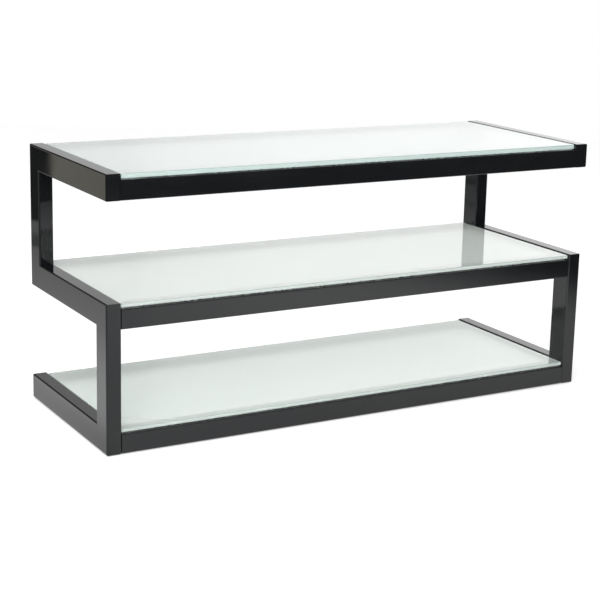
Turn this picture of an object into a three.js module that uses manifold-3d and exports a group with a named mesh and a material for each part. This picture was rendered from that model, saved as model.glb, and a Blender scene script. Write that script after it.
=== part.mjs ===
// Audio equipment rack: two S-shaped side frames of rectangular steel tube, cross-bars at three levels,
// and three glass shelves that lie between the frames. Millimetres, +Z up, front towards -Y.
// The origin is on the floor, at the middle of the rack's footprint.
import * as THREE from "three";
import { mergeVertices } from "three/addons/utils/BufferGeometryUtils.js";
import Module from "manifold-3d";

const wasm = await Module();
wasm.setup();

// Overall sizes
const RACK_WIDTH = 1100;
const FRAME_DEPTH = 400;
const FRAME_HEIGHT = 530; // underside of the bottom arms to the top of the top arms

// Side frame tube
const TUBE_WIDTH = 30; // across the rack
const TUBE_DEPTH = 50; // in the plane of the side frame
const TUBE_WALL = 1.5;
const TUBE_CORNER = 3; // outside radius

// Cross-bar tube, whose height is what the top glass and its strip leave of the arm's
const BAR_WIDTH = 30; // front to back
const BAR_WALL = 1.5;
const BAR_CORNER = 3; // outside radius

// Spigot inside each bar end, welded to the arm
const SPIGOT_LENGTH = 45;
const SPIGOT_WALL = 2.5;

// Button-head screw that holds a bar on the middle of its spigot
const SCREW_DIAMETER = 6;
const SCREW_REACH = 9; // shank below the head
const SCREW_HEAD_DIAMETER = 10.5;
const SCREW_HEAD_HEIGHT = 3.3;
const SCREW_SOCKET_ACROSS = 4; // across the flats
const SCREW_SOCKET_DEPTH = 1.8;

// Plug in the free end of an arm
const PLUG_PLATE = 3;
const PLUG_WALL = 2;
const PLUG_DEPTH = 18;

// Glass shelves
const TOP_GLASS_THICKNESS = 10; // it carries a screen
const SHELF_GLASS_THICKNESS = 8; // middle and bottom
const TOP_GLASS_RECESS = 0; // top of the top glass below the top of its arms
const GLASS_CORNER = 5;
const GLASS_ARRIS = 1;
const GLASS_SIDE_GAP = 1; // to the arm on each side
const GLASS_SETBACK = 3; // behind the front of the frame, and in front of its rear

// Clear strip under the glass
const STRIP_WIDTH = 14;
const STRIP_THICKNESS = 0.8;
const STRIP_END_INSET = 40; // from the end of the glass

// Glide under the bottom arms
const GLIDE_DIAMETER = 20;
const GLIDE_THICKNESS = 1.7;
const GLIDE_CHAMFER = 0.5;
const GLIDE_FROM_END = 26; // glide centre to the end of the arm

// Gaps between pieces that are fitted or welded together
const FIT_GAP = 0.3;
const WELD_GAP = 0.3;

// Facets
const CORNER_SIDES = 4; // of a tube's quarter-round corner
const GLASS_CORNER_SIDES = 8;
const SCREW_SIDES = 16;
const SOCKET_SIDES = 6; // a hexagon
const HEAD_RINGS = 3;
const GLIDE_SIDES = 32;
const CUT_OVERRUN = 2; // a cutting tool passes this far beyond the faces that it cuts

// Sizes that follow from those above
const armCentre = RACK_WIDTH / 2 - TUBE_WIDTH / 2;
const clearWidth = RACK_WIDTH - 2 * TUBE_WIDTH;
const levelPitch = (FRAME_HEIGHT - TUBE_DEPTH) / 2; // from one level's arm to the next
const halfTube = TUBE_DEPTH / 2;
const frontFace = -FRAME_DEPTH / 2;
const frameLift = GLIDE_THICKNESS + FIT_GAP;
const mitreSetback = (WELD_GAP / 2) * Math.SQRT2;
const glassBottom = TUBE_DEPTH - TOP_GLASS_RECESS - TOP_GLASS_THICKNESS;
const glassWidth = clearWidth - 2 * GLASS_SIDE_GAP;
const glassDepth = FRAME_DEPTH - 2 * GLASS_SETBACK;
const barHeight = glassBottom - STRIP_THICKNESS - 2 * FIT_GAP;
const barOffset = FRAME_DEPTH / 2 - BAR_WIDTH / 2;
const spigotAcross = BAR_WIDTH - 2 * BAR_WALL - 2 * FIT_GAP;
const spigotHeight = barHeight - 2 * BAR_WALL - 2 * FIT_GAP;
const screwFromArm = FIT_GAP + SPIGOT_LENGTH / 2;
const holeDiameter = SCREW_DIAMETER + 2 * FIT_GAP;

// Materials
const lacquer = new THREE.MeshStandardMaterial({ color: 0x17191b, roughness: 0.16, metalness: 0.1 });
const blackPlastic = new THREE.MeshStandardMaterial({ color: 0x141516, roughness: 0.35, metalness: 0 });
const rawSteel = new THREE.MeshStandardMaterial({ color: 0x2b2d30, roughness: 0.4, metalness: 0.6 });
const zincSteel = new THREE.MeshStandardMaterial({ color: 0x8d9094, roughness: 0.35, metalness: 0.9 });
const clearRubber = new THREE.MeshStandardMaterial({ color: 0xd8dcda, roughness: 0.3, metalness: 0 });
const felt = new THREE.MeshStandardMaterial({ color: 0x1d1d1e, roughness: 0.95, metalness: 0 });
const frostedGlass = new THREE.MeshStandardMaterial({ color: 0xdfe9e4, roughness: 0.08, metalness: 0 });

// A closed outline with quarter-round corners, centred on zero.
function roundedRectangle(Path, width, height, radius, sides) {
  const outline = new Path();
  const quadrants = [
    [1, 1],
    [-1, 1],
    [-1, -1],
    [1, -1],
  ];
  const points = quadrants.flatMap(([right, up], quarter) =>
    Array.from({ length: sides + 1 }, (_, i) => {
      const angle = (quarter + i / sides) * (Math.PI / 2);
      const x = right * (width / 2 - radius) + radius * Math.cos(angle);
      const y = up * (height / 2 - radius) + radius * Math.sin(angle);
      return new THREE.Vector2(x, y);
    }),
  );
  outline.setFromPoints(points);
  outline.closePath();
  return outline;
}

// The inside radius of a tube's corner.
function boreRadius(radius, wall) {
  return Math.max(radius - wall, wall / 2);
}

// The corner radius of what slides into a tube with the fit gap all round.
function insertRadius(radius, wall) {
  return Math.max(boreRadius(radius, wall) - FIT_GAP, FIT_GAP);
}

// A rectangular tube section with its bore, for extruding.
function tubeSection(width, height, radius, wall) {
  const section = roundedRectangle(THREE.Shape, width, height, radius, CORNER_SIDES);
  const inner = boreRadius(radius, wall);
  const bore = roundedRectangle(THREE.Path, width - 2 * wall, height - 2 * wall, inner, CORNER_SIDES);
  section.holes.push(bore);
  return section;
}

function extrude(section, length) {
  return new THREE.ExtrudeGeometry(section, { depth: length, bevelEnabled: false, steps: 1 });
}

// A frame tube along +Z whose ends lean with the depth of the section: +1 and -1 are the two mitres,
// 0 is a square end. The length is that of the centreline before the weld gap is taken off each mitre.
function mitredTube(length, startLean, endLean) {
  const geometry = extrude(tubeSection(TUBE_WIDTH, TUBE_DEPTH, TUBE_CORNER, TUBE_WALL), length);
  const position = geometry.getAttribute("position");
  for (let i = 0; i < position.count; i++) {
    const atStart = position.getZ(i) < length / 2;
    const lean = atStart ? startLean : endLean;
    const inward = atStart ? 1 : -1;
    const z = position.getZ(i) + lean * position.getY(i) + inward * Math.abs(lean) * mitreSetback;
    position.setZ(i, z);
  }
  geometry.computeVertexNormals();
  return geometry;
}

// Solids for joining and cutting, from a geometry's positions alone.
function toSolid(geometry) {
  const bare = new THREE.BufferGeometry();
  bare.setAttribute("position", geometry.getAttribute("position"));
  bare.setIndex(geometry.getIndex());
  const merged = mergeVertices(bare);
  const vertProperties = new Float32Array(merged.getAttribute("position").array);
  const triVerts = new Uint32Array(merged.getIndex().array);
  return new wasm.Manifold(new wasm.Mesh({ numProp: 3, vertProperties, triVerts }));
}

function toGeometry(solid) {
  const mesh = solid.getMesh();
  const geometry = new THREE.BufferGeometry();
  geometry.setAttribute("position", new THREE.BufferAttribute(mesh.vertProperties, 3));
  geometry.setIndex(new THREE.BufferAttribute(mesh.triVerts, 1));
  const flat = geometry.toNonIndexed();
  flat.computeVertexNormals();
  return flat;
}

function subtract(geometry, ...cutters) {
  const cut = cutters.reduce((solid, cutter) => solid.subtract(toSolid(cutter)), toSolid(geometry));
  return toGeometry(cut);
}

// A closed round rod along Y, centred at the given place.
function rod(diameter, length, sides, x, y, z) {
  const geometry = new THREE.CylinderGeometry(diameter / 2, diameter / 2, length, sides);
  geometry.translate(x, y, z);
  return geometry;
}

// The cup that closes a tube: its plate faces -Z and its skirt runs inwards along +Z.
function plugGeometry() {
  const width = TUBE_WIDTH - 2 * TUBE_WALL - 2 * FIT_GAP;
  const height = TUBE_DEPTH - 2 * TUBE_WALL - 2 * FIT_GAP;
  const corner = insertRadius(TUBE_CORNER, TUBE_WALL);
  const body = extrude(roundedRectangle(THREE.Shape, width, height, corner, CORNER_SIDES), PLUG_DEPTH);
  const hollowWidth = width - 2 * PLUG_WALL;
  const hollowHeight = height - 2 * PLUG_WALL;
  const hollow = new THREE.BoxGeometry(hollowWidth, hollowHeight, PLUG_DEPTH - PLUG_PLATE + CUT_OVERRUN);
  hollow.translate(0, 0, PLUG_PLATE + (PLUG_DEPTH - PLUG_PLATE + CUT_OVERRUN) / 2);
  return subtract(body, hollow);
}

// A cross-bar along X, with its screw holes through the wall on its +Y side.
function barGeometry() {
  const length = clearWidth - 2 * FIT_GAP;
  const bar = extrude(tubeSection(barHeight, BAR_WIDTH, BAR_CORNER, BAR_WALL), length);
  bar.rotateY(Math.PI / 2);
  bar.translate(-length / 2, 0, 0);
  const reach = BAR_WALL + 2 * CUT_OVERRUN;
  const wallCentre = BAR_WIDTH / 2 - BAR_WALL / 2;
  const along = clearWidth / 2 - screwFromArm;
  const holes = [-along, along].map((x) => rod(holeDiameter, reach, SCREW_SIDES, x, wallCentre, 0));
  return subtract(bar, ...holes);
}

// A spigot along X from its welded end at zero, with its screw hole through the wall on its +Y side.
function spigotGeometry() {
  const corner = insertRadius(BAR_CORNER, BAR_WALL);
  const spigot = extrude(tubeSection(spigotHeight, spigotAcross, corner, SPIGOT_WALL), SPIGOT_LENGTH);
  spigot.rotateY(Math.PI / 2);
  const reach = SPIGOT_WALL + 2 * CUT_OVERRUN;
  const wallCentre = spigotAcross / 2 - SPIGOT_WALL / 2;
  const hole = rod(holeDiameter, reach, SCREW_SIDES, SPIGOT_LENGTH / 2, wallCentre, 0);
  return subtract(spigot, hole);
}

// A button-head screw along Y: the head's seat is at zero, its dome towards +Y, its shank towards -Y.
function screwGeometry() {
  const shankRadius = SCREW_DIAMETER / 2;
  const headRadius = SCREW_HEAD_DIAMETER / 2;
  const socketRadius = SCREW_SOCKET_ACROSS / 2 / Math.cos(Math.PI / SOCKET_SIDES);
  const crownRadius = (socketRadius + shankRadius) / 2;
  const dome = Array.from({ length: HEAD_RINGS + 1 }, (_, i) => {
    const angle = (i / HEAD_RINGS) * (Math.PI / 2);
    const radius = crownRadius + (headRadius - crownRadius) * Math.cos(angle);
    return new THREE.Vector2(radius, SCREW_HEAD_HEIGHT * Math.sin(angle));
  });
  const profile = [
    new THREE.Vector2(0, -SCREW_REACH),
    new THREE.Vector2(shankRadius, -SCREW_REACH),
    new THREE.Vector2(shankRadius, 0),
    ...dome,
    new THREE.Vector2(0, SCREW_HEAD_HEIGHT),
  ];
  const screw = new THREE.LatheGeometry(profile, SCREW_SIDES);
  const socketLength = SCREW_SOCKET_DEPTH + CUT_OVERRUN;
  const socket = new THREE.CylinderGeometry(socketRadius, socketRadius, socketLength, SOCKET_SIDES);
  socket.translate(0, SCREW_HEAD_HEIGHT - SCREW_SOCKET_DEPTH + socketLength / 2, 0);
  return subtract(screw, socket);
}

// A glass shelf with rounded corners and ground arrises, its underside at zero.
function glassGeometry(thickness) {
  const outline = roundedRectangle(THREE.Shape, glassWidth, glassDepth, GLASS_CORNER, GLASS_CORNER_SIDES);
  const glass = new THREE.ExtrudeGeometry(outline, {
    depth: thickness - 2 * GLASS_ARRIS,
    steps: 1,
    bevelEnabled: true,
    bevelThickness: GLASS_ARRIS,
    bevelSize: GLASS_ARRIS,
    bevelOffset: -GLASS_ARRIS,
    bevelSegments: 1,
  });
  glass.translate(0, 0, GLASS_ARRIS);
  return glass;
}

// A round glide with a chamfered foot, its foot at zero.
function glideGeometry() {
  const radius = GLIDE_DIAMETER / 2;
  const profile = [
    new THREE.Vector2(0, 0),
    new THREE.Vector2(radius - GLIDE_CHAMFER, 0),
    new THREE.Vector2(radius, GLIDE_CHAMFER),
    new THREE.Vector2(radius, GLIDE_THICKNESS),
    new THREE.Vector2(0, GLIDE_THICKNESS),
  ];
  const glide = new THREE.LatheGeometry(profile, GLIDE_SIDES);
  glide.rotateX(Math.PI / 2);
  return glide;
}

function named(name, geometry, material, x, y, z) {
  const mesh = new THREE.Mesh(geometry, material);
  mesh.name = name;
  mesh.position.set(x, y, z);
  return mesh;
}

// Lays a piece that is built along +Z so that it runs towards +Y, with its local +Y downwards.
function laidBack(mesh) {
  mesh.rotation.x = -Math.PI / 2;
  return mesh;
}

// Lays a piece that is built along +Z so that it runs towards -Y.
function laidForward(mesh) {
  mesh.rotation.x = Math.PI / 2;
  return mesh;
}

const parts = {
  topArm: mitredTube(FRAME_DEPTH - halfTube, 0, -1),
  middleArm: mitredTube(FRAME_DEPTH - TUBE_DEPTH, 1, 1),
  bottomArm: mitredTube(FRAME_DEPTH - halfTube, -1, 0),
  rearPost: mitredTube(levelPitch, -1, 1),
  frontPost: mitredTube(levelPitch, 1, -1),
  plug: plugGeometry(),
  bar: barGeometry(),
  spigot: spigotGeometry(),
  screw: screwGeometry(),
  topGlass: glassGeometry(TOP_GLASS_THICKNESS),
  shelfGlass: glassGeometry(SHELF_GLASS_THICKNESS),
  strip: new THREE.BoxGeometry(glassWidth - 2 * STRIP_END_INSET, STRIP_WIDTH, STRIP_THICKNESS),
  glide: glideGeometry(),
};

// One side frame, with its plugs and glides. Heights are measured from the bottom arm's underside.
function sideFrame(side, x) {
  const frame = new THREE.Group();
  frame.position.set(x, frontFace, frameLift);
  const lowAxis = halfTube;
  const middleAxis = levelPitch + halfTube;
  const topAxis = 2 * levelPitch + halfTube;
  frame.add(
    laidBack(named(`top_arm_${side}`, parts.topArm, lacquer, 0, 0, topAxis)),
    laidBack(named(`middle_arm_${side}`, parts.middleArm, lacquer, 0, halfTube, middleAxis)),
    laidBack(named(`bottom_arm_${side}`, parts.bottomArm, lacquer, 0, halfTube, lowAxis)),
    named(`rear_post_${side}`, parts.rearPost, lacquer, 0, FRAME_DEPTH - halfTube, middleAxis),
    named(`front_post_${side}`, parts.frontPost, lacquer, 0, halfTube, lowAxis),
    laidBack(named(`top_arm_plug_${side}`, parts.plug, blackPlastic, 0, 0, topAxis)),
    laidForward(named(`bottom_arm_plug_${side}`, parts.plug, blackPlastic, 0, FRAME_DEPTH, lowAxis)),
    named(`front_glide_${side}`, parts.glide, felt, 0, GLIDE_FROM_END, -frameLift),
    named(`rear_glide_${side}`, parts.glide, felt, 0, FRAME_DEPTH - GLIDE_FROM_END, -frameLift),
  );
  return frame;
}

// One cross-bar with its spigots, screws and glass strip, inner side towards +Y, bar axis at zero.
// The two sides are named in the order in which they stand along this group's own X.
function barSet(name, sides) {
  const set = new THREE.Group();
  const [low, high] = sides;
  const spigotStart = clearWidth / 2 - FIT_GAP;
  const screwAt = clearWidth / 2 - screwFromArm;
  const headSeat = BAR_WIDTH / 2 + FIT_GAP;
  const stripHeight = barHeight / 2 + FIT_GAP + STRIP_THICKNESS / 2;
  const lowSpigot = named(`${name}_spigot_${low}`, parts.spigot, rawSteel, -spigotStart, 0, 0);
  const highSpigot = named(`${name}_spigot_${high}`, parts.spigot, rawSteel, spigotStart, 0, 0);
  highSpigot.rotation.y = Math.PI;
  set.add(
    named(`${name}_bar`, parts.bar, lacquer, 0, 0, 0),
    lowSpigot,
    highSpigot,
    named(`${name}_screw_${low}`, parts.screw, zincSteel, -screwAt, headSeat, 0),
    named(`${name}_screw_${high}`, parts.screw, zincSteel, screwAt, headSeat, 0),
    named(`${name}_strip`, parts.strip, clearRubber, 0, 0, stripHeight),
  );
  return set;
}

// One level: its front and rear bars and its glass, from the underside of the level's arms upwards.
function level(name, height, glass) {
  const shelf = new THREE.Group();
  shelf.position.z = height;
  const front = barSet(`${name}_front`, ["left", "right"]);
  front.position.set(0, -barOffset, barHeight / 2);
  const rear = barSet(`${name}_rear`, ["right", "left"]);
  rear.position.set(0, barOffset, barHeight / 2);
  rear.rotation.z = Math.PI;
  shelf.add(front, rear, named(`${name}_glass`, glass, frostedGlass, 0, 0, glassBottom));
  return shelf;
}

const rack = new THREE.Group();
rack.add(
  sideFrame("left", -armCentre),
  sideFrame("right", armCentre),
  level("bottom", frameLift, parts.shelfGlass),
  level("middle", frameLift + levelPitch, parts.shelfGlass),
  level("top", frameLift + 2 * levelPitch, parts.topGlass),
);

export default rack;
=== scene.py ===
import math
import bpy
import numpy as np
from mathutils import Matrix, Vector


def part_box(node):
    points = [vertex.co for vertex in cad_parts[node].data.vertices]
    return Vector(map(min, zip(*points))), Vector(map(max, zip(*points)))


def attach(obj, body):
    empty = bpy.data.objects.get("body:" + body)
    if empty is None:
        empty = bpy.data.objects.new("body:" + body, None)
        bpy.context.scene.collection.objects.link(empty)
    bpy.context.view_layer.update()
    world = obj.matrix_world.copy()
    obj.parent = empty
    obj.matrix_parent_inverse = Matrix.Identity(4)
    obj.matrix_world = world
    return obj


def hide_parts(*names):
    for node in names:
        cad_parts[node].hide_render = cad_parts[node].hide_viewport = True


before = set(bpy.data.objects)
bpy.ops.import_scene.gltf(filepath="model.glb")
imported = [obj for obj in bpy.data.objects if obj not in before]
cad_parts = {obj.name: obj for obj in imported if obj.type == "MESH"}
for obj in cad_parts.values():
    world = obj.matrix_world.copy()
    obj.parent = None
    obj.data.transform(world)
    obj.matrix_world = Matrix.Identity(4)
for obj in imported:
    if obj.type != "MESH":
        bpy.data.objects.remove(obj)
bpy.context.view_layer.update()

# Sizes of the tubes
TUBE_WIDTH = 0.030
TUBE_DEPTH = 0.050
TUBE_WALL = 0.0015
TUBE_CORNER = 0.003
BAR_WALL = 0.0015
BAR_CORNER = 0.002
SAW_ARRIS = 0.0005  # where a sawn end has been broken with a file
CORNER_SIDES = 10

# Sizes of the shelves and strips. A pane is thinner than its CAD solid by its trim, below and above.
GLASS_CORNER = {"bottom": 0.003, "middle": 0.003, "top": 0.005}
GLASS_TRIM = {"bottom": (0.0008, 0), "middle": (0.0008, 0), "top": (0, 0.0008)}
GLASS_ARRIS = 0.001
LOWER_ARRIS_SHADE = 0.3  # how much of the upper arris's painted shade the lower one has
GLASS_CORNER_SIDES = 16
STRIP_ROUND = 0.0003
STRIP_END_ROUND = 0.003

# Sizes of the plugs, screws and glides
PLUG_PLATE = 0.003
PLUG_WALL = 0.002
PLUG_CORNER = 0.0012
PLUG_ARRIS = 0.0004
SCREW_SHANK = 0.003  # radius
SCREW_HEAD = 0.00525  # radius
SCREW_HEAD_HEIGHT = 0.0033
SOCKET_ACROSS = 0.004
SOCKET_DEPTH = 0.0018
SCREW_SIDES = 48
DOME_RINGS = 8
GLIDE_SIDES = 64
GLIDE_ROUND = 0.0006
ROUND_RINGS = 5

SIDES = ["left", "right"]
LEVELS = ["bottom", "middle", "top"]
ENDS = {"front": -1, "rear": 1}

X, Y, Z = np.eye(3)
QUARTER_TURN = math.pi / 2
HEXAGON_FLAT = math.pi / 3  # the angle that one flat of a hexagon spans


# Shapes

def unit(vectors):
    """Each vector divided by its own length."""
    return vectors / np.linalg.norm(vectors, axis=-1, keepdims=True)


def rounded_rectangle(width, height, radius, sides):
    """Closed outline round zero: each corner's points are its centre plus the radius times (cos, sin).

    Gives the points and their outward normals, both as (n, 2), anticlockwise from the +X side.
    """
    quadrants = np.array([[1, 1], [-1, 1], [-1, -1], [1, -1]])
    quarter = np.repeat(np.arange(len(quadrants)), sides + 1)
    angle = (quarter + np.tile(np.arange(sides + 1), len(quadrants)) / sides) * QUARTER_TURN
    normals = np.stack([np.cos(angle), np.sin(angle)], axis=1)
    centres = quadrants[quarter] * (np.array([width, height]) / 2 - radius)
    return centres + radius * normals, normals


def bore_of(width, height, radius, wall):
    """The inside of a tube: its outline moved in by the wall, which also comes off each corner's radius."""
    return rounded_rectangle(width - 2 * wall, height - 2 * wall, radius - wall, CORNER_SIDES)


def inside_out(points, faces, shading):
    """Whether the faces turn the other way from their given normals, summed over all their corners."""
    corners = np.concatenate(faces)
    owner = np.repeat(np.arange(len(faces)), [len(face) for face in faces])
    first = points[corners[np.searchsorted(owner, owner)]]
    after = np.where(np.append(owner[1:], -1) == owner, np.roll(corners, -1), corners)
    facing = np.cross(points[corners] - first, points[after] - first)
    return (facing * shading).sum() < 0


def shell(name, rings, normals, caps=None, zones=None):
    """A closed skin over rings of n points: ring k joins ring k + 1 by quads.

    rings is (m, n, 3). normals holds one (2, n, 3) array for each band: the normals on its first and
    second ring. caps holds the normals of the flat faces that close the first and the last ring. Without
    caps, the last ring joins the first. zones names face attributes, and gives each its value on every band
    and cap, in that order.
    """
    rings = np.asarray(rings, dtype=float)
    count, around, _ = rings.shape
    bands = count - 1 if caps else count
    start = np.arange(around)
    ahead = np.roll(start, -1)
    faces, shading, values = [], [], []
    for band in range(bands):
        low, high = band * around, (band + 1) % count * around
        faces += np.stack([low + start, low + ahead, high + ahead, high + start], axis=1).tolist()
        first, second = normals[band]
        shading.append(np.stack([first, first[ahead], second[ahead], second], axis=1).reshape(-1, 3))
        values += [band] * around
    for cap, ring, order in zip(caps or (), (0, count - 1), (start[::-1], start)):
        faces.append((ring * around + order).tolist())
        shading.append(np.tile(cap, (around, 1)))
        values.append(bands + (ring > 0))
    points = rings.reshape(-1, 3)
    shading = np.concatenate(shading)
    if inside_out(points, faces, shading):
        ends = np.cumsum([len(face) for face in faces])
        shading = np.concatenate([part[::-1] for part in np.split(shading, ends[:-1])])
        faces = [face[::-1] for face in faces]
    mesh = bpy.data.meshes.new(name)
    mesh.from_pydata(points.tolist(), [], faces)
    mesh.shade_smooth()
    for zone, by_band in (zones or {}).items():
        attribute = mesh.attributes.new(zone, "FLOAT", "FACE")
        attribute.data.foreach_set("value", np.array(by_band, dtype=np.float32)[values])
    mesh.normals_split_custom_set(unit(shading).tolist())
    piece = bpy.data.objects.new(name, mesh)
    bpy.context.scene.collection.objects.link(piece)
    return piece


def tube(name, ends, planes, across, deep, outline, bore, arris):
    """A rectangular tube on a straight line, its section carried from one end plane to the other.

    A point (u, v) of the section lies at end + u across + v deep + s along, with s such that the point is
    on the end's plane. Where arris gives an end a length, its outer edge is broken by that much.
    """
    along = unit(ends[1] - ends[0])

    def ring(end, section, step=0.0):
        flat = section[:, :1] * across + section[:, 1:] * deep
        slide = -(flat @ planes[end]) / (along @ planes[end]) + step
        return ends[end] + flat + slide[:, None] * along

    points, normals = outline
    hollow, hollow_normals = bore
    sides = normals[:, :1] * across + normals[:, 1:] * deep
    inner = -(hollow_normals[:, :1] * across + hollow_normals[:, 1:] * deep)
    flat_start = np.tile(-planes[0], (len(points), 1))
    flat_end = np.tile(planes[1], (len(points), 1))
    rings = [ring(0, hollow)]
    bands = [(flat_start, flat_start)]
    if arris[0]:
        rings += [ring(0, points - arris[0] * normals), ring(0, points, arris[0])]
        bands += [(flat_start, sides)]
    else:
        rings += [ring(0, points)]
    bands += [(sides, sides)]
    if arris[1]:
        rings += [ring(1, points, -arris[1]), ring(1, points - arris[1] * normals)]
        bands += [(sides, flat_end)]
    else:
        rings += [ring(1, points)]
    bands += [(flat_end, flat_end), (inner, inner)]
    rings += [ring(1, hollow)]
    return shell(name, rings, bands)


def slab(name, low, high, corner, corner_sides, edge, rounded, zones=None):
    """A flat plate: a rounded rectangle carried from low to high, and drawn in by edge at both faces.

    The two drawn-in edges are shaded as round where rounded is set, and as flat chamfers where it isn't.
    """
    centre = (low + high) / 2
    length, width = (high - low)[:2]
    outline, normals = rounded_rectangle(length, width, corner, corner_sides)
    around = len(outline)
    flat = np.concatenate([normals, np.zeros((around, 1))], axis=1)

    def ring(inset, height):
        section = outline - inset * normals
        return np.concatenate([section + centre[:2], np.full((around, 1), height)], axis=1)

    rings = [ring(edge, low[2]), ring(0, low[2] + edge), ring(0, high[2] - edge), ring(edge, high[2])]
    if rounded:
        bands = [(np.tile(-Z, (around, 1)), flat), (flat, flat), (flat, np.tile(Z, (around, 1)))]
    else:
        bands = [(flat - Z, flat - Z), (flat, flat), (flat + Z, flat + Z)]
    return shell(name, rings, bands, caps=(-Z, Z), zones=zones)


def turned(name, radii, heights, slopes, centre, axis, sides, flats=None):
    """A turned piece with flat ends: station k is a circle of radius radii[k] at heights[k] along the axis.

    slopes gives each band its normals at both stations as angles from the radius towards the axis. Stations
    marked in flats are hexagons instead: the radius at angle t is the half width over flats divided by the
    cosine of t's distance from the middle of its flat.
    """
    turn = np.arange(sides) / sides * math.tau
    spoke = np.cos(turn)[:, None] * X + np.sin(turn)[:, None] * np.cross(axis, X)
    from_flat = (turn + HEXAGON_FLAT / 2) % HEXAGON_FLAT - HEXAGON_FLAT / 2
    stretch = 1 / np.cos(from_flat)[:, None]
    flats = flats or [False] * len(radii)
    rings = [centre + spoke * (radius * (stretch if flat else 1)) + height * axis
             for radius, height, flat in zip(radii, heights, flats)]
    bands = [tuple(math.cos(a) * spoke + math.sin(a) * axis for a in pair) for pair in slopes]
    return shell(name, rings, bands, caps=(-axis, axis))


# Nodes of a material

def feed(tree, socket, value):
    """Links the socket to another node's output, or gives it a plain value."""
    if isinstance(value, bpy.types.NodeSocket):
        tree.links.new(value, socket)
    else:
        socket.default_value = value


def add(tree, kind, links=None, **settings):
    """A node of the kind, with its settings made and its inputs fed."""
    node = tree.nodes.new(kind)
    for label, value in settings.items():
        setattr(node, label, value)
    for label, value in (links or {}).items():
        feed(tree, node.inputs[label], value)
    return node


def noise(tree, vector, scale, detail=2.0, roughness=0.5):
    """The value of a noise with scale waves in a unit of the vector."""
    links = {"Vector": vector, "Scale": scale, "Detail": detail, "Roughness": roughness}
    return add(tree, "ShaderNodeTexNoise", links).outputs["Fac"]


def ranged(tree, value, low, high, to_low=0.0, to_high=1.0, smooth=True):
    """The value taken from the range low to high to the range to_low to to_high, and held at its ends."""
    kind = "SMOOTHSTEP" if smooth else "LINEAR"
    links = {"Value": value, "From Min": low, "From Max": high, "To Min": to_low, "To Max": to_high}
    return add(tree, "ShaderNodeMapRange", links, interpolation_type=kind).outputs["Result"]


def maths(tree, operation, *values):
    """One sum, product or the like of two or three values."""
    return add(tree, "ShaderNodeMath", dict(enumerate(values)), operation=operation).outputs[0]


def blend(tree, factor, first, second):
    """The first colour where the factor is 0, and the second where it is 1."""
    colour_a, colour_b, colour_result = 6, 7, 2  # a Mix node's sockets for colours
    links = {"Factor": factor, colour_a: first, colour_b: second}
    return add(tree, "ShaderNodeMix", links, data_type="RGBA").outputs[colour_result]


def measured(tree, operation, first, second):
    """The distance or the dot product of two vectors."""
    return add(tree, "ShaderNodeVectorMath", {0: first, 1: second}, operation=operation).outputs["Value"]


def split(tree, vector):
    """The X, Y and Z of a vector."""
    return add(tree, "ShaderNodeSeparateXYZ", {"Vector": vector}).outputs


def graded(tree, factor, stops):
    """An eased colour ramp over the factor, whose stops are a position from 0 to 1 and a colour."""
    node = add(tree, "ShaderNodeValToRGB", {"Fac": factor})
    node.color_ramp.interpolation = "EASE"
    elements = node.color_ramp.elements
    while len(elements) < len(stops):
        elements.new(1.0)
    for element, (position, colour) in zip(elements, stops):
        element.position = position
        element.color = colour
    return node.outputs["Color"]


def rgb(red, green, blue):
    """A colour that lets nothing through."""
    return red, green, blue, 1.0


def grey(level):
    """A neutral colour that lets nothing through."""
    return rgb(level, level, level)


# Effects that several finishes share

def effect(name, scales, results):
    """An empty node group that takes a vector and the named scales, and gives the named results."""
    group = bpy.data.node_groups.new(name, "ShaderNodeTree")
    group.interface.new_socket("Vector", in_out="INPUT", socket_type="NodeSocketVector")
    for label in scales:
        group.interface.new_socket(label, in_out="INPUT", socket_type="NodeSocketFloat")
    for label in results:
        group.interface.new_socket(label, in_out="OUTPUT", socket_type="NodeSocketFloat")
    return group, group.nodes.new("NodeGroupInput").outputs, group.nodes.new("NodeGroupOutput").inputs


def sprayed_film():
    """Sprayed finish: a low orange peel from two noises, sparse dust nibs, and a broad haze of handling."""
    fine_over_coarse = 2.7
    fine_height = 0.35
    nib_top, nib_foot = 0.05, 0.16
    nib_patches = 35.0
    nib_height = 0.8
    smear_stretch = (3.0, 9.0, 9.0)
    smears = 2.2
    group, into, out = effect("Sprayed film", ["Peel scale", "Nib scale"], ["Height", "Haze", "Nibs"])
    vector = into["Vector"]
    coarse = noise(group, vector, into["Peel scale"], detail=1.0)
    fine_scale = maths(group, "MULTIPLY", into["Peel scale"], fine_over_coarse)
    fine = noise(group, vector, fine_scale, detail=1.0)
    peel = maths(group, "MULTIPLY_ADD", fine, fine_height, coarse)
    cells = add(group, "ShaderNodeTexVoronoi", {"Vector": vector, "Scale": into["Nib scale"]})
    spot = ranged(group, cells.outputs["Distance"], nib_top, nib_foot, 1.0, 0.0)
    rare = ranged(group, noise(group, vector, nib_patches), low=0.62, high=0.74)
    nibs = maths(group, "MULTIPLY", spot, rare)
    height = maths(group, "MULTIPLY_ADD", nibs, nib_height, peel)
    smear = add(group, "ShaderNodeMapping", {"Vector": vector, "Scale": smear_stretch}).outputs["Vector"]
    haze = ranged(group, noise(group, smear, smears, detail=4.0, roughness=0.6), low=0.4, high=0.7)
    feed(group, out["Height"], height)
    feed(group, out["Haze"], haze)
    feed(group, out["Nibs"], nibs)
    return group


def etched_surface():
    """Acid-etched glass: a fine tooth of noise, and the slight cloudiness of an uneven etch."""
    clouds = 3.5
    group, into, out = effect("Etched surface", ["Tooth scale"], ["Height", "Cloud"])
    vector = into["Vector"]
    cloud = noise(group, vector, clouds, detail=3.0, roughness=0.55)
    feed(group, out["Height"], noise(group, vector, into["Tooth scale"]))
    feed(group, out["Cloud"], ranged(group, cloud, low=0.3, high=0.7))
    return group


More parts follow.
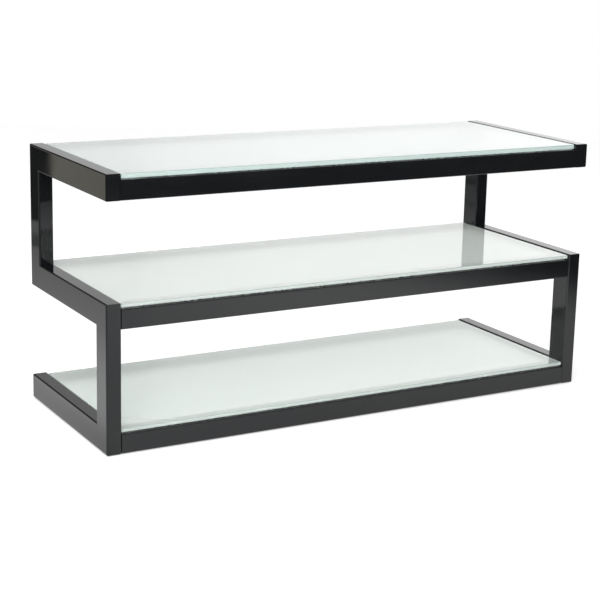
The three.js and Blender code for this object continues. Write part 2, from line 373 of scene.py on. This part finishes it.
def worn_grain():
    """Small metal and moulded parts: fine grain drawn out along the vector's Y, and blotches of tone."""
    draw_stretch = (1.0, 0.15, 1.0)
    group, into, out = effect("Worn grain", ["Grain scale", "Blotch scale"], ["Height", "Blotch"])
    vector = into["Vector"]
    drawn = add(group, "ShaderNodeMapping", {"Vector": vector, "Scale": draw_stretch}).outputs["Vector"]
    blotch = noise(group, vector, into["Blotch scale"], detail=3.0)
    feed(group, out["Height"], noise(group, drawn, into["Grain scale"], detail=3.0))
    feed(group, out["Blotch"], ranged(group, blotch, low=0.35, high=0.65))
    return group


FILM = sprayed_film()
ETCH = etched_surface()
GRAIN = worn_grain()


# Finishes

def material(name):
    """A material with its node tree, its one shader and the Object coordinates."""
    made = bpy.data.materials.new(name)
    made.use_nodes = True
    tree = made.node_tree
    shader = tree.nodes["Principled BSDF"]
    place = tree.nodes.new("ShaderNodeTexCoord").outputs["Object"]
    return made, tree, shader, place


def placed(tree, group, **values):
    """The results of an effect, whose inputs are fed by name with _ for a space."""
    node = add(tree, "ShaderNodeGroup", node_tree=group)
    for label, value in values.items():
        feed(tree, node.inputs[label.replace("_", " ")], value)
    return node.outputs


def bumped(tree, shader, height, depth, strength=1.0):
    """Lets the height, as a share of the depth in metres, tilt the shader's normal."""
    bump = add(tree, "ShaderNodeBump", {"Height": height, "Distance": depth, "Strength": strength})
    feed(tree, shader.inputs["Normal"], bump.outputs["Normal"])


def lacquer(name, clean, hazed):
    """Black gloss lacquer: orange peel in the normal, haze and nibs in the roughness, a hazed tone.

    clean and hazed are the roughness without the haze and under it.
    """
    deep_black, hazed_black = rgb(0.0068, 0.0078, 0.0088), rgb(0.0094, 0.0100, 0.0106)
    nib_roughness = 0.08
    made, tree, shader, place = material(name)
    film = placed(tree, FILM, Vector=place, Peel_scale=240.0, Nib_scale=420.0)
    gloss = ranged(tree, film["Haze"], 0.0, 1.0, clean, hazed, smooth=False)
    feed(tree, shader.inputs["Base Color"], blend(tree, film["Haze"], deep_black, hazed_black))
    feed(tree, shader.inputs["Roughness"], maths(tree, "MULTIPLY_ADD", film["Nibs"], nib_roughness, gloss))
    bumped(tree, shader, film["Height"], depth=0.00002, strength=0.1)
    return made


def shelf_glass(name, milks_and_painted_light, rims_and_arris_shade):
    """Frosted glass: polished on top, etched below, milky in between, with clear green ground edges.

    Its cloud tones come as a pair per shelf, each pair lighter or darker as painted light; its rim tones
    are those of its edge's face and of the arris, the arris's darker tone a painted shade.
    Light passes it more freely than the eye sees through it, so it casts only a faint shadow.
    """
    polish, cloud_roughness = 0.05, 0.02
    etch_roughness, grind_roughness = 0.62, 0.2
    light_let_through = 0.87
    made, tree, shader, place = material(name)
    etch = placed(tree, ETCH, Vector=place, Tooth_scale=900.0)
    edge, arris, under = [add(tree, "ShaderNodeAttribute", attribute_name=zone).outputs["Fac"]
                          for zone in ("edge", "arris", "under")]
    milk_and_painted_light = blend(tree, etch["Cloud"], *milks_and_painted_light)
    rim_and_arris_shade = blend(tree, arris, *rims_and_arris_shade)
    polished = maths(tree, "MULTIPLY_ADD", etch["Cloud"], cloud_roughness, polish)
    etched = maths(tree, "MULTIPLY_ADD", under, etch_roughness, polished)
    feed(tree, shader.inputs["Base Color"], blend(tree, edge, milk_and_painted_light, rim_and_arris_shade))
    feed(tree, shader.inputs["Roughness"], maths(tree, "MULTIPLY_ADD", edge, grind_roughness, etched))
    shader.inputs["Transmission Weight"].default_value = 0.68
    shader.inputs["IOR"].default_value = 1.5
    bumped(tree, shader, maths(tree, "MULTIPLY", etch["Height"], under), depth=0.00003)
    rays = tree.nodes.new("ShaderNodeLightPath").outputs
    lighting = maths(tree, "MAXIMUM", rays["Is Shadow Ray"], rays["Is Diffuse Ray"])
    feed(tree, shader.inputs["Alpha"], maths(tree, "MULTIPLY_ADD", lighting, -light_let_through, 1.0))
    return made


def black_plastic():
    """Moulded plug: a finer peel and less gloss than the lacquer round it."""
    deep_black, hazed_black = rgb(0.0065, 0.0072, 0.0080), rgb(0.0100, 0.0105, 0.0110)
    clean, hazed = 0.16, 0.24
    made, tree, shader, place = material("plug_finish")
    film = placed(tree, FILM, Vector=place, Peel_scale=900.0, Nib_scale=700.0)
    feed(tree, shader.inputs["Base Color"], blend(tree, film["Haze"], deep_black, hazed_black))
    feed(tree, shader.inputs["Roughness"], ranged(tree, film["Haze"], 0.0, 1.0, clean, hazed))
    bumped(tree, shader, film["Height"], depth=0.00002, strength=0.6)
    return made


def grained(name, grain_scale, blotch_scale, tones, roughness, depth, strength, constants=None):
    """A small part's finish: blotches mix its two tones and two roughnesses, and grain is in its normal.

    constants gives plain values to the shader's other inputs.
    """
    made, tree, shader, place = material(name)
    grain = placed(tree, GRAIN, Vector=place, Grain_scale=grain_scale, Blotch_scale=blotch_scale)
    feed(tree, shader.inputs["Base Color"], blend(tree, grain["Blotch"], *tones))
    feed(tree, shader.inputs["Roughness"], ranged(tree, grain["Blotch"], 0.0, 1.0, *roughness))
    for label, value in (constants or {}).items():
        shader.inputs[label].default_value = value
    bumped(tree, shader, grain["Height"], depth, strength)
    return made


def dark_felt():
    """Pressed felt: short matted fibres as stretched noise over a lumpy base."""
    dark, pale = rgb(0.010, 0.010, 0.011), rgb(0.040, 0.040, 0.042)
    fibre_shape = {"Scale": (1.0, 0.35, 0.5), "Rotation": (0.3, 0.2, 0.7)}
    lump_height = 0.6
    made, tree, shader, place = material("glide_finish")
    fibres = add(tree, "ShaderNodeMapping", {"Vector": place, **fibre_shape}).outputs["Vector"]
    matted = noise(tree, fibres, scale=2400.0, detail=4.0, roughness=0.65)
    lumps = noise(tree, place, scale=420.0, detail=3.0)
    matt = ranged(tree, lumps, low=0.3, high=0.7, to_low=0.86, to_high=0.97)
    feed(tree, shader.inputs["Base Color"], blend(tree, matted, dark, pale))
    feed(tree, shader.inputs["Roughness"], matt)
    shader.inputs["Sheen Weight"].default_value = 0.25
    shader.inputs["Sheen Roughness"].default_value = 0.5
    bumped(tree, shader, maths(tree, "MULTIPLY_ADD", lumps, lump_height, matted), depth=0.0003)
    return made


FRAME_LACQUER = lacquer("frame_lacquer_finish", clean=0.02, hazed=0.035)
BAR_LACQUER = lacquer("bar_lacquer_finish", clean=0.08, hazed=0.13)
PLASTIC = black_plastic()
FELT = dark_felt()
# The shelves are one glass: these milk tones differ from shelf to shelf only as painted light, the middle
# and bottom made paler against the shade from the shelves above.
BOTTOM_MILKS_WITH_PAINTED_LIGHT = (rgb(0.893, 0.97, 0.922), rgb(0.911, 0.98, 0.937))
MIDDLE_MILKS_WITH_PAINTED_LIGHT = (rgb(0.937, 0.984, 0.945), rgb(0.952, 0.993, 0.96))
TOP_MILKS = (rgb(0.88, 0.935, 0.915), rgb(0.90, 0.945, 0.93))
# Each pair is the edge's own green and, second, the arris's painted shade: a dark line painted along the
# arris.
LOWER_RIMS_AND_ARRIS_SHADE = (rgb(0.83, 0.92, 0.885), rgb(0.60, 0.72, 0.67))
TOP_RIMS_AND_ARRIS_SHADE = (rgb(0.72, 0.90, 0.85), rgb(0.50, 0.66, 0.62))
GLASS = {
    "bottom": shelf_glass("bottom_glass_painted_light_finish", BOTTOM_MILKS_WITH_PAINTED_LIGHT, LOWER_RIMS_AND_ARRIS_SHADE),
    "middle": shelf_glass("middle_glass_painted_light_finish", MIDDLE_MILKS_WITH_PAINTED_LIGHT, LOWER_RIMS_AND_ARRIS_SHADE),
    "top": shelf_glass("top_glass_painted_shade_finish", TOP_MILKS, TOP_RIMS_AND_ARRIS_SHADE),
}
PRIMER = grained(
    "spigot_finish", grain_scale=1500.0, blotch_scale=70.0, depth=0.00004, strength=0.7,
    tones=(rgb(0.014, 0.015, 0.017), rgb(0.028, 0.029, 0.031)), roughness=(0.38, 0.52))
ZINC = grained(
    "screw_finish", grain_scale=2600.0, blotch_scale=320.0, depth=0.00002, strength=0.6,
    tones=(rgb(0.40, 0.42, 0.45), rgb(0.50, 0.49, 0.46)), roughness=(0.26, 0.36),
    constants={"Metallic": 1.0})
RUBBER = grained(
    "strip_finish", grain_scale=1200.0, blotch_scale=90.0, depth=0.00003, strength=0.5,
    tones=(rgb(0.62, 0.66, 0.64), rgb(0.70, 0.73, 0.71)), roughness=(0.25, 0.38),
    constants={"Transmission Weight": 0.9, "IOR": 1.45})


# How a piece takes its node's place

def dressed(piece, node, finish):
    """Gives the piece its finish and its slot, lets it ride with the rack and stand for its node."""
    piece.data.materials.append(finish)
    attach(piece, "root")
    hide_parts(node)


def corners_of(node):
    """The node's lowest and highest corners."""
    low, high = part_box(node)
    return np.array(low), np.array(high)


# Side frames

def side_frame(side):
    """One zig-zag of five tubes in a plane across X. Their mitres meet with no gap, as ground welds do.

    The plane of a mitre has the sum of its two tubes' directions as its normal.
    """
    top_low, top_high = corners_of(f"top_arm_{side}")
    middle_low, middle_high = corners_of(f"middle_arm_{side}")
    foot_low, foot_high = corners_of(f"bottom_arm_{side}")
    x = (top_low[0] + top_high[0]) / 2
    half = TUBE_DEPTH / 2
    front, back = foot_low[1] + half, top_high[1] - half
    top, middle, foot = top_high[2] - half, (middle_low[2] + middle_high[2]) / 2, foot_low[2] + half
    path = np.array([[x, top_low[1], top], [x, back, top], [x, back, middle],
                     [x, front, middle], [x, front, foot], [x, foot_high[1], foot]])
    directions = unit(np.diff(path, axis=0))
    mitres = unit(directions[:-1] + directions[1:])
    planes = [directions[0], *mitres, directions[-1]]
    outline = rounded_rectangle(TUBE_WIDTH, TUBE_DEPTH, TUBE_CORNER, CORNER_SIDES)
    bore = bore_of(TUBE_WIDTH, TUBE_DEPTH, TUBE_CORNER, TUBE_WALL)
    runs = ["top_arm", "rear_post", "middle_arm", "front_post", "bottom_arm"]
    for k, run in enumerate(runs):
        node = f"{run}_{side}"
        deep = np.cross(directions[k], X)
        arris = (SAW_ARRIS * (run == runs[0]), SAW_ARRIS * (run == runs[-1]))
        piece = tube(f"{node}_tube", path[k:k + 2], planes[k:k + 2], X, deep, outline, bore, arris)
        dressed(piece, node, FRAME_LACQUER)


def arm_plug(node, outward):
    """Cup in an arm's open end: a plate with its edge eased, and a skirt that runs into the tube."""
    low, high = corners_of(node)
    width, depth, height = high - low
    centre = (low + high) / 2
    face = np.array([centre[0], low[1] if outward < 0 else high[1], centre[2]])
    inward = -outward * Y
    outline, normals = rounded_rectangle(width, height, PLUG_CORNER, CORNER_SIDES)
    hollow, hollow_normals = rounded_rectangle(
        width - 2 * PLUG_WALL, height - 2 * PLUG_WALL, PLUG_CORNER, CORNER_SIDES)

    def ring(section, step):
        return face + section[:, :1] * X + section[:, 1:] * Z + step * inward

    sides = normals[:, :1] * X + normals[:, 1:] * Z
    inner = -(hollow_normals[:, :1] * X + hollow_normals[:, 1:] * Z)
    plate = np.tile(-inward, (len(outline), 1))
    rings = [ring(outline - PLUG_ARRIS * normals, 0), ring(outline, PLUG_ARRIS), ring(outline, depth),
             ring(hollow, depth), ring(hollow, PLUG_PLATE)]
    bands = [(plate, sides), (sides, sides), (-plate, -plate), (inner, inner)]
    piece = shell(f"{node}_cup", rings, bands, caps=(-inward, inward))
    dressed(piece, node, PLASTIC)


def arm_glide(node):
    """Felt disc under an arm, its foot's rim rounded by a quarter circle."""
    low, high = corners_of(node)
    centre = np.array([(low[0] + high[0]) / 2, (low[1] + high[1]) / 2, low[2]])
    radius = (high[0] - low[0]) / 2
    thick = high[2] - low[2]
    turn = np.linspace(0, QUARTER_TURN, ROUND_RINGS + 1)
    radii = [*(radius - GLIDE_ROUND + GLIDE_ROUND * np.sin(turn)), radius]
    heights = [*(GLIDE_ROUND - GLIDE_ROUND * np.cos(turn)), thick]
    angles = turn - QUARTER_TURN
    slopes = [*zip(angles, angles[1:]), (0, 0)]
    piece = turned(f"{node}_felt", radii, heights, slopes, centre, Z, GLIDE_SIDES)
    dressed(piece, node, FELT)


for side in SIDES:
    side_frame(side)
    arm_plug(f"top_arm_plug_{side}", outward=-1)
    arm_plug(f"bottom_arm_plug_{side}", outward=1)
    for end in ENDS:
        arm_glide(f"{end}_glide_{side}")


# Cross-bars with their screws, spigots and strips, and the shelves

def cross_bar(node):
    """A rectangular tube from frame to frame, its ends broken so that each seam shows as a fine line."""
    low, high = corners_of(node)
    centre = (low + high) / 2
    ends = np.array([[low[0], centre[1], centre[2]], [high[0], centre[1], centre[2]]])
    wide, tall = (high - low)[1:]
    outline = rounded_rectangle(wide, tall, BAR_CORNER, CORNER_SIDES)
    bore = bore_of(wide, tall, BAR_CORNER, BAR_WALL)
    piece = tube(f"{node}_tube", ends, [X, X], Y, Z, outline, bore, (SAW_ARRIS, SAW_ARRIS))
    dressed(piece, node, BAR_LACQUER)


def button_screw(node, inward):
    """Button-head screw: a shank, a head that is a quarter ellipse in section, and a hexagon socket.

    The head's flat crown reaches halfway from the socket's corners to the shank's radius.
    """
    low, high = corners_of(node)
    centre = (low + high) / 2
    tip, top = sorted((inward * low[1], inward * high[1]))
    seat = top - SCREW_HEAD_HEIGHT
    base = np.array([centre[0], inward * seat, centre[2]])
    socket = SOCKET_ACROSS / 2
    crown = (socket / math.cos(HEXAGON_FLAT / 2) + SCREW_SHANK) / 2
    rise = np.linspace(0, QUARTER_TURN, DOME_RINGS + 1)
    dome = crown + (SCREW_HEAD - crown) * np.cos(rise)
    dome_heights = SCREW_HEAD_HEIGHT * np.sin(rise)
    tilt = np.arctan2(np.sin(rise) * (SCREW_HEAD - crown), np.cos(rise) * SCREW_HEAD_HEIGHT)
    radii = [SCREW_SHANK, SCREW_SHANK, *dome, socket, socket]
    heights = [tip - seat, 0, *dome_heights, SCREW_HEAD_HEIGHT, SCREW_HEAD_HEIGHT - SOCKET_DEPTH]
    down, up, back = -QUARTER_TURN, QUARTER_TURN, 2 * QUARTER_TURN
    slopes = [(0, 0), (down, down), *zip(tilt, tilt[1:]), (up, up), (back, back)]
    flats = [radius == socket for radius in radii]
    piece = turned(f"{node}_button", radii, heights, slopes, base, inward * Y, SCREW_SIDES, flats)
    dressed(piece, node, ZINC)


def glass_strip(node):
    """Soft strip on a bar: round-cornered seen from above, with its top and bottom edges eased."""
    low, high = corners_of(node)
    piece = slab(f"{node}_soft", low, high, STRIP_END_ROUND, CORNER_SIDES, STRIP_ROUND, rounded=True)
    dressed(piece, node, RUBBER)


def shelf(level):
    """Glass shelf with a ground arris along both edges, the lower one carrying less of the painted shade.
    """
    node = f"{level}_glass"
    below, above = GLASS_TRIM[level]
    low, high = corners_of(node)
    low[2] += below
    high[2] -= above
    # Values on the lower arris, the edge, the upper arris, the underside and the top
    zones = {"edge": [1, 1, 1, 0, 0], "arris": [LOWER_ARRIS_SHADE, 0, 1, 0, 0], "under": [0, 0, 0, 1, 0]}
    piece = slab(f"{node}_pane", low, high, GLASS_CORNER[level], GLASS_CORNER_SIDES, GLASS_ARRIS,
                 rounded=False, zones=zones)
    dressed(piece, node, GLASS[level])


for level in LEVELS:
    for end, outward in ENDS.items():
        cross_bar(f"{level}_{end}_bar")
        glass_strip(f"{level}_{end}_strip")
        for side in SIDES:
            button_screw(f"{level}_{end}_screw_{side}", -outward)
            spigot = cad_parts[f"{level}_{end}_spigot_{side}"]
            spigot.data.materials.clear()
            spigot.data.materials.append(PRIMER)
    shelf(level)


# Floor

# It is turned to face the camera: sideways runs to the picture's right, and ahead runs from the camera.
FLOOR_TURN = math.radians(30)
SIDEWAYS = np.array([math.cos(FLOOR_TURN), -math.sin(FLOOR_TURN), 0])
AHEAD = np.array([math.sin(FLOOR_TURN), math.cos(FLOOR_TURN), 0])
FLOOR_LEFT, FLOOR_RIGHT = -2.06, 1.9
FLOOR_NEAR, FLOOR_FAR = -1.6, 4.0
FLOOR_GLOW = 0.35  # what the camera sees on top of the lit floor, which keeps it white beside the shadow

# Painted light on the floor that only gloss sees, as distances and brightnesses where they start and end
PAINTED_POOL = (0.5, 2.3, 0.92, 0.36)  # a painted pool of light round the origin
PAINTED_PATCHES = [
    ((0.45, -1.15, 0), (0.0, 1.1, 0.7, 0.0)),
    ((-0.70, 0.18, 0), (0.0, 0.6, 0.36, 0.0)),
]
PAINTED_SHADOW_X = -0.57  # where a painted shadow lies, just outside the left frame
PAINTED_SHADOW_LEFT = (0.0, 0.08, 0.72, 1.0)
RIGHT_FADE = (1.1, 1.7, 1.0, 0.03)  # along sideways
# Painted reflections along the floor's left edge, as sideways distance and brightness
PAINTED_STREAKS_LEFT = [(-2.05, 0.03), (-1.98, 1.0), (-1.90, 0.9), (-1.80, 0.45), (-1.74, 0.45), (-1.68, 1.0)]
STREAKS_FROM, STREAKS_TO = -2.1, -1.5


def painted_floor_light(tree, place):
    """The painted light that gloss sees on the floor: the pool and the patches added, then shaded.

    The pool is a painted pool of light, brightest near the rack. One painted patch of light lies in front
    on the right, and a weaker one beside the left end. The shades are a painted shadow, a soft darker line
    beside the left frame, a fade to the right, and along the floor's left edge painted reflections: a dark
    rim, a bright streak and a half-dark one.
    """
    brightness = ranged(tree, measured(tree, "DISTANCE", place, (0, 0, 0)), *PAINTED_POOL)
    for centre, reach in PAINTED_PATCHES:
        patch = ranged(tree, measured(tree, "DISTANCE", place, centre), *reach)
        brightness = maths(tree, "ADD", brightness, patch)
    from_frame = maths(tree, "ABSOLUTE", maths(tree, "SUBTRACT", split(tree, place)["X"], PAINTED_SHADOW_X))
    along = measured(tree, "DOT_PRODUCT", place, SIDEWAYS)
    span = STREAKS_TO - STREAKS_FROM
    stops = [((lateral - STREAKS_FROM) / span, grey(bright)) for lateral, bright in PAINTED_STREAKS_LEFT]
    streaks = graded(tree, ranged(tree, along, STREAKS_FROM, STREAKS_TO, smooth=False), stops)
    for shade in (ranged(tree, from_frame, *PAINTED_SHADOW_LEFT), ranged(tree, along, *RIGHT_FADE), streaks):
        brightness = maths(tree, "MULTIPLY", brightness, shade)
    return brightness


def studio_floor():
    """Pale floor that looks white and keeps the rack's soft shadow, with painted light of its own that only
    gloss sees.
    """
    made, tree, shader, place = material("studio_floor")
    uneven = noise(tree, place, scale=1.5)
    feed(tree, shader.inputs["Base Color"], blend(tree, uneven, grey(0.93), grey(0.95)))
    shader.inputs["Roughness"].default_value = 0.9
    shader.inputs["Specular IOR Level"].default_value = 0.1
    shader.inputs["Emission Color"].default_value = grey(1)
    rays = tree.nodes.new("ShaderNodeLightPath").outputs
    glow = maths(tree, "MULTIPLY", rays["Is Camera Ray"], FLOOR_GLOW)
    feed(tree, shader.inputs["Emission Strength"], glow)
    # The floor glows for glossy rays only: painted light, painted shadow and painted reflections
    mirrored = add(tree, "ShaderNodeEmission", {"Strength": painted_floor_light(tree, place)})
    surfaces = {0: rays["Is Glossy Ray"], 1: shader.outputs["BSDF"], 2: mirrored.outputs["Emission"]}
    both = add(tree, "ShaderNodeMixShader", surfaces)
    feed(tree, tree.nodes["Material Output"].inputs["Surface"], both.outputs["Shader"])
    corners = [(FLOOR_LEFT, FLOOR_NEAR), (FLOOR_RIGHT, FLOOR_NEAR),
               (FLOOR_RIGHT, FLOOR_FAR), (FLOOR_LEFT, FLOOR_FAR)]
    points = np.array(corners) @ np.array([SIDEWAYS, AHEAD])
    mesh = bpy.data.meshes.new("studio_floor")
    mesh.from_pydata(points.tolist(), [], [(0, 1, 2, 3)])
    mesh.materials.append(made)
    floor = bpy.data.objects.new("studio_floor", mesh)
    bpy.context.scene.collection.objects.link(floor)


# World

DAYLIGHT = 0.64  # what lights the rack evenly from all round

# What gloss mirrors. A heading is a direction's X once it is levelled, and a height is its Z.
CEILING = 1.1
BACKDROP = [  # heading, brightness and warmth
    (-1.0, 0.30, 0), (-0.60, 0.22, 0), (-0.42, 0.54, 1), (-0.33, 0.56, 1), (-0.31, 0.02, 0),
    (0.20, 0.05, 0), (0.32, 0.72, 0), (0.38, 0.80, 0), (0.42, 0.98, 0), (0.50, 1.14, 0),
    (0.57, 1.22, 0), (0.61, 1.38, 0), (0.65, 1.60, 0), (1.0, 0.80, 0),
]
WARM_LOSS = (0, 0.03, 0.17)  # what warmth takes from red, green and blue
BACKDROP_DIMMED = [  # each the product of two shares, which run over a range of the heading or the height
    # A little darker above a low edge, left of the bright end
    (("height", 0.21, 0.29, 0.0, 0.3), ("heading", 0.36, 0.44, 1.0, 0.0)),
    # Nearly black higher up
    (("height", 0.32, 0.40, 0.0, 0.95), ("heading", 0.50, 0.58, 1.0, 0.0)),
    # A sharp right end for the warm stretch, because the ramp's 256 steps would blur it
    (("heading", -0.3450, -0.3412, 0.0, 0.96), ("heading", -0.30, -0.28, 1.0, 0.0)),
]
FRONT_DARK, FRONT_LEFT = rgb(0.03, 0.03, 0.035), grey(0.5)


def backdrop(tree, headings, heights):
    """The wall behind the rack: a ramp over the heading, blended to black by what dims it most there."""
    stops = []
    for heading, bright, warm in BACKDROP:
        colour = rgb(*(bright * (1 - loss * warm) for loss in WARM_LOSS))
        stops.append(((heading + 1) / 2, colour))
    wall = graded(tree, ranged(tree, headings, -1, 1, smooth=False), stops)
    measures = {"heading": headings, "height": heights}
    dimmed = 0
    for shares in BACKDROP_DIMMED:
        first, second = [ranged(tree, measures[measure], *limits) for measure, *limits in shares]
        dimmed = maths(tree, "MAXIMUM", dimmed, maths(tree, "MULTIPLY", first, second))
    return blend(tree, dimmed, wall, grey(0))


def studio_world():
    """Even white light, and white where the camera looks past the floor or through glass.

    Gloss mirrors a bright ceiling, a dark front that turns grey to the left, and the backdrop behind.
    """
    world = bpy.data.worlds.new("studio")
    world.use_nodes = True
    bpy.context.scene.world = world
    tree = world.node_tree
    direction = split(tree, tree.nodes.new("ShaderNodeTexCoord").outputs["Generated"])
    level = add(tree, "ShaderNodeCombineXYZ", {"X": direction["X"], "Y": direction["Y"]})
    levelled = add(tree, "ShaderNodeVectorMath", {0: level.outputs["Vector"]}, operation="NORMALIZE")
    compass = split(tree, levelled.outputs["Vector"])
    to_left = ranged(tree, compass["X"], low=-0.9, high=-0.3, to_low=1.0, to_high=0.0)
    front = blend(tree, to_left, FRONT_DARK, FRONT_LEFT)
    behind = ranged(tree, compass["Y"], low=-0.1, high=0.3)
    walls = blend(tree, behind, front, backdrop(tree, compass["X"], direction["Z"]))
    overhead = ranged(tree, direction["Z"], low=0.55, high=0.85)
    mirrored = blend(tree, overhead, walls, grey(CEILING))
    rays = tree.nodes.new("ShaderNodeLightPath").outputs
    shown = blend(tree, rays["Is Glossy Ray"], grey(DAYLIGHT), mirrored)
    for ray in ("Is Transmission Ray", "Is Camera Ray"):
        shown = blend(tree, rays[ray], shown, grey(1))
    feed(tree, tree.nodes["Background"].inputs["Color"], shown)


# Lamps and camera

def put(name, data, place, axes):
    """Adds a lamp or a camera at its place. The columns of axes are its own X, Y and Z."""
    matrix = np.eye(4)
    matrix[:3, :3] = axes
    matrix[:3, 3] = place
    holder = bpy.data.objects.new(name, data)
    holder.matrix_world = Matrix(matrix.tolist())
    bpy.context.scene.collection.objects.link(holder)
    return holder


def softbox(name, place, target, size, radiance):
    """Rectangular lamp that faces its target. Its power is the radiance times pi times its area.

    Gloss doesn't mirror it, so no shelf burns out in any view: what gloss mirrors is in floor and world.
    """
    lamp = bpy.data.lights.new(name, "AREA")
    lamp.shape = "RECTANGLE"
    lamp.size, lamp.size_y = size
    lamp.energy = radiance * math.pi * size[0] * size[1]
    back = unit(np.array(place) - np.array(target))
    side = unit(np.cross(Z, back))
    holder = put(name, lamp, place, np.stack([side, np.cross(back, side), back], axis=1))
    holder.visible_glossy = False


# The photograph's own perspective: focal length and centre in pixels, turn vector, and eye in metres
IMAGE = 600
FOCAL = 1533.2
CENTRE = (328.8, 264.9)
TURN = (0.2251, -0.5278, -0.03282)
EYE = (-1.5736, -2.7260, 0.9900)
SENSOR = 36  # millimetres across


def photo_camera():
    """Pinhole camera. The turn vector is the line that the camera turns round, as long as the angle."""
    angle = np.linalg.norm(TURN)
    x, y, z = np.array(TURN) / angle
    cross = np.array([[0, -z, y], [z, 0, -x], [-y, x, 0]])
    rotation = np.eye(3) + math.sin(angle) * cross + (1 - math.cos(angle)) * cross @ cross
    to_image = rotation @ np.array([[1, 0, 0], [0, 0, -1], [0, 1, 0]])
    lens = bpy.data.cameras.new("photo_camera")
    lens.sensor_width = SENSOR
    lens.lens = FOCAL * SENSOR / IMAGE
    lens.shift_x = (IMAGE / 2 - CENTRE[0]) / IMAGE
    lens.shift_y = (CENTRE[1] - IMAGE / 2) / IMAGE
    bpy.context.scene.camera = put("photo_camera", lens, EYE, to_image.T @ np.diag([1, -1, -1]))


studio_floor()
studio_world()
softbox("key_softbox", place=(-1.2, -0.6, 2.6), target=(-0.2, 0, 0.3), size=(2.4, 1.8), radiance=0.9)
softbox("front_softbox", place=(-1.5, -2.3, 1.9), target=(0, 0, 0.25), size=(2.4, 1.6), radiance=5.0)
photo_camera()
bpy.context.scene.view_settings.view_transform = "Standard"
